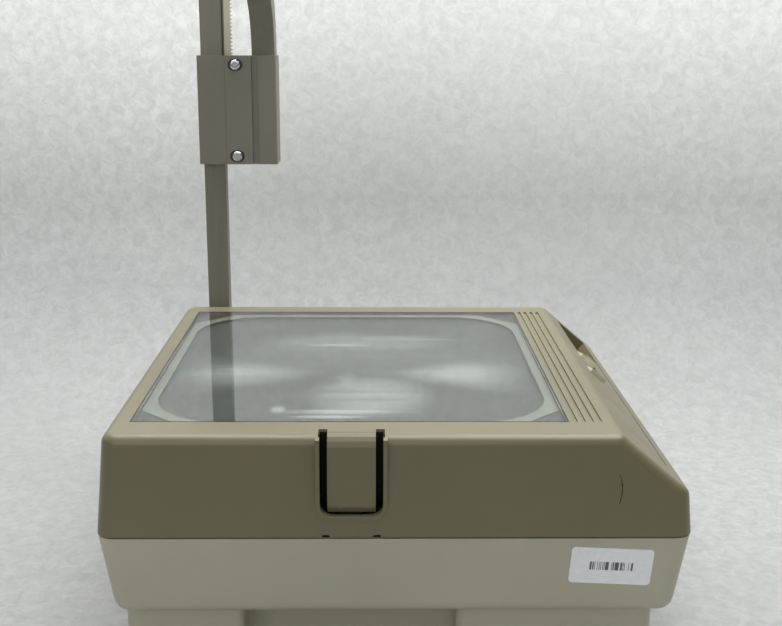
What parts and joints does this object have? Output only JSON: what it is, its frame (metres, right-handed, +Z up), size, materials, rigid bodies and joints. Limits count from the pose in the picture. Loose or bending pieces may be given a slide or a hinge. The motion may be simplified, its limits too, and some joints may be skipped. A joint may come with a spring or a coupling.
{
  "type": "overhead projector",
  "caption": "Desktop overhead projector: glass stage on a lamp base with an opening lid, and a mirror head on a post with a focus slide.",
  "frame": {"origin": "centre of the whole object's box, on the plane its feet rest on", "axes": "+Z up, -Y towards the side with the lid latch, +X towards the sloping side with the control keys"},
  "size_m": [0.365, 0.404, 0.6131],
  "materials": {
    "lid_plastic": "semi-gloss moulded, fine grain",
    "base_plastic": "semi-gloss moulded, fine grain",
    "column_enamel": "satin enamel",
    "carriage_plastic": "satin moulded",
    "rack_plastic": "natural nylon",
    "stage_glass": "polished plate glass",
    "fresnel_acrylic": "finely grooved",
    "mask_paint": "satin light grey-green",
    "dark_frame": "dark grey moulded",
    "black_rubber": "matte",
    "key_plastic": "cream moulded",
    "zinc_steel": "zinc plated sheet",
    "chrome_screw": "bright plated",
    "lens_glass": "optical",
    "mirror_glass": "front silvered",
    "knob_plastic": "fluted black",
    "aluminium": "spun and polished",
    "black_plastic": "moulded",
    "white_ceramic": "unglazed",
    "copper_winding": "lacquered wire wrapped in tape",
    "label_paper": "laminated paper sticker"
  },
  "bodies": {
    "base": {"base_housing": "base_plastic", "bottom_plate": "zinc_steel", "rubber_feet": "black_rubber", "foot_screws": "zinc_steel", "rear_grille": "base_plastic", "fan_frame": "black_plastic", "fan_motor": "black_plastic", "fan_guard": "zinc_steel", "lamp_house": "zinc_steel", "condenser_lens": "lens_glass", "lamp_reflector": "aluminium", "thermal_cutout": "black_plastic", "lamp_rail": "zinc_steel", "transformer_core": "zinc_steel", "transformer_winding": "copper_winding", "terminal_block": "black_plastic", "power_inlet": "black_plastic", "hinge_brackets": "zinc_steel", "latch_keeper": "zinc_steel", "asset_label": "label_paper", "post": "column_enamel", "post_cap": "black_plastic", "post_socket": "base_plastic", "socket_bolts": "zinc_steel", "focus_rack": "rack_plastic"},
    "fan_rotor": {"fan_rotor": "black_plastic"},
    "lamp_changer": {"lamp_carriage": "zinc_steel", "lamp_change_knob": "knob_plastic", "lamp_sockets": "white_ceramic", "halogen_lamps": "lens_glass"},
    "stage_lid": {"lid_housing": "lid_plastic", "hinge_pins": "zinc_steel", "stage_glass": "stage_glass", "glass_gasket": "black_rubber", "aperture_mask": "mask_paint", "fresnel_frame": "dark_frame", "fresnel_upper": "fresnel_acrylic", "fresnel_lower": "fresnel_acrylic", "fresnel_clips": "zinc_steel", "switch_bodies": "black_plastic"},
    "latch": {"latch_tongue": "lid_plastic"},
    "power_rocker": {"power_key": "key_plastic"},
    "level_rocker": {"lamp_level_key": "key_plastic"},
    "focus_carriage": {"sleeve_body": "carriage_plastic", "sleeve_cover": "carriage_plastic", "sleeve_screws": "chrome_screw", "arm_tube": "column_enamel", "head_lower_shell": "carriage_plastic", "head_upper_shell": "carriage_plastic", "head_screws": "chrome_screw", "lens_barrel": "black_plastic", "objective_lower": "lens_glass", "objective_upper": "lens_glass", "lens_ring": "black_plastic"},
    "focus_drive": {"pinion_gear": "rack_plastic", "pinion_shaft": "zinc_steel", "focus_knob": "knob_plastic"},
    "mirror_flap": {"mirror_holder": "carriage_plastic", "head_mirror": "mirror_glass", "mirror_pin": "zinc_steel"}
  },
  "joints": [
    {"name": "lid_hinge", "type": "hinge", "parent": "base", "child": "stage_lid", "pos_m": [0, 0.122, 0.158], "axis": [-1, 0, 0], "range_deg": [0, 45]},
    {"name": "latch_press", "type": "hinge", "parent": "stage_lid", "child": "latch", "pos_m": [-0.0267, -0.1895, 0.1705], "axis": [1, 0, 0], "range_deg": [0, 5], "stiffness_Nm_per_rad": 1.5, "springref_deg": -2.86},
    {"name": "power_switch", "type": "hinge", "parent": "stage_lid", "child": "power_rocker", "pos_m": [0.15259, -0.0075, 0.15452], "axis": [0.7629, 0, -0.6465], "range_deg": [0, 9]},
    {"name": "lamp_level_switch", "type": "hinge", "parent": "stage_lid", "child": "level_rocker", "pos_m": [0.15259, 0.0325, 0.15452], "axis": [0.7629, 0, -0.6465], "range_deg": [0, 9]},
    {"name": "focus_slide", "type": "slide", "parent": "base", "child": "focus_carriage", "axis": [0, 0, 1], "range_m": [-0.03, 0.03]},
    {"name": "focus_spin", "type": "hinge", "parent": "focus_carriage", "child": "focus_drive", "pos_m": [-0.1273, 0.1535, 0.342], "axis": [0, 1, 0], "range_deg": [-216, 216]},
    {"name": "mirror_tilt", "type": "hinge", "parent": "focus_carriage", "child": "mirror_flap", "pos_m": [-0.076, -0.0285, 0.524], "axis": [0, 1, 0], "range_deg": [-15, 45]},
    {"name": "fan_spin", "type": "hinge", "parent": "base", "child": "fan_rotor", "pos_m": [-0.155, -0.0285, 0.046], "axis": [1, 0, 0], "continuous": true},
    {"name": "lamp_change", "type": "slide", "parent": "base", "child": "lamp_changer", "axis": [1, 0, 0], "range_m": [0, 0.034]}
  ],
  "couplings": [
    {"joint": "focus_spin", "follows": "focus_slide", "rad_per_m": -125}
  ]
}
